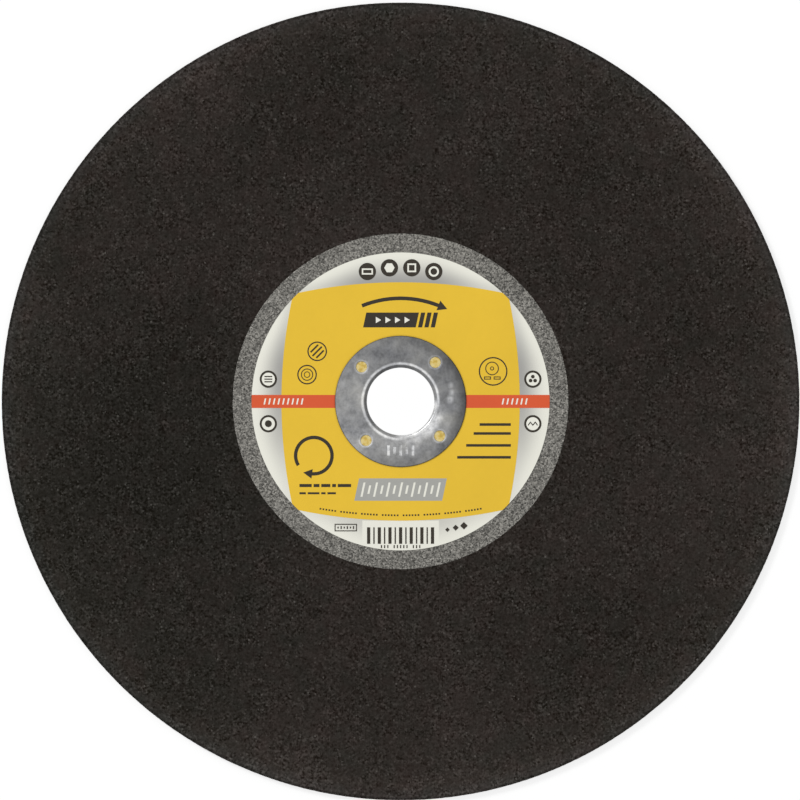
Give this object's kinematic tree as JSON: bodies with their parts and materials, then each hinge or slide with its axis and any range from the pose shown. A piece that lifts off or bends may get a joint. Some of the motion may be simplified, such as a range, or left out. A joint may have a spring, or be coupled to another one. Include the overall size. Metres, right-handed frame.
{
  "type": "cut-off wheel",
  "caption": "Flat cut-off wheel: a thin grit disc with a flush grey hub disc, a printed paper label and a drawn steel ring that lines its bore.",
  "frame": {"origin": "centre of the bore in the wheel's flat back face, which it lies on", "axes": "+Z along the bore's axis, out of the labelled face; +Y to the label's top; +X to its right"},
  "size_m": [0.3, 0.3, 0.0032],
  "materials": {
    "bonded_grit": "matte",
    "grey_grit": "matte",
    "label_paper": "matte",
    "yellow_ink": "matte",
    "red_ink": "matte",
    "grey_ink": "matte",
    "black_ink": "matte",
    "ring_steel": "satin"
  },
  "bodies": {
    "root": {"abrasive_disc": "bonded_grit", "hub_reinforcement": "grey_grit", "paper_label": "label_paper", "yellow_print": "yellow_ink", "red_print": "red_ink", "grey_print": "grey_ink", "black_print": "black_ink", "centre_bushing": "ring_steel"}
  },
  "joints": []
}
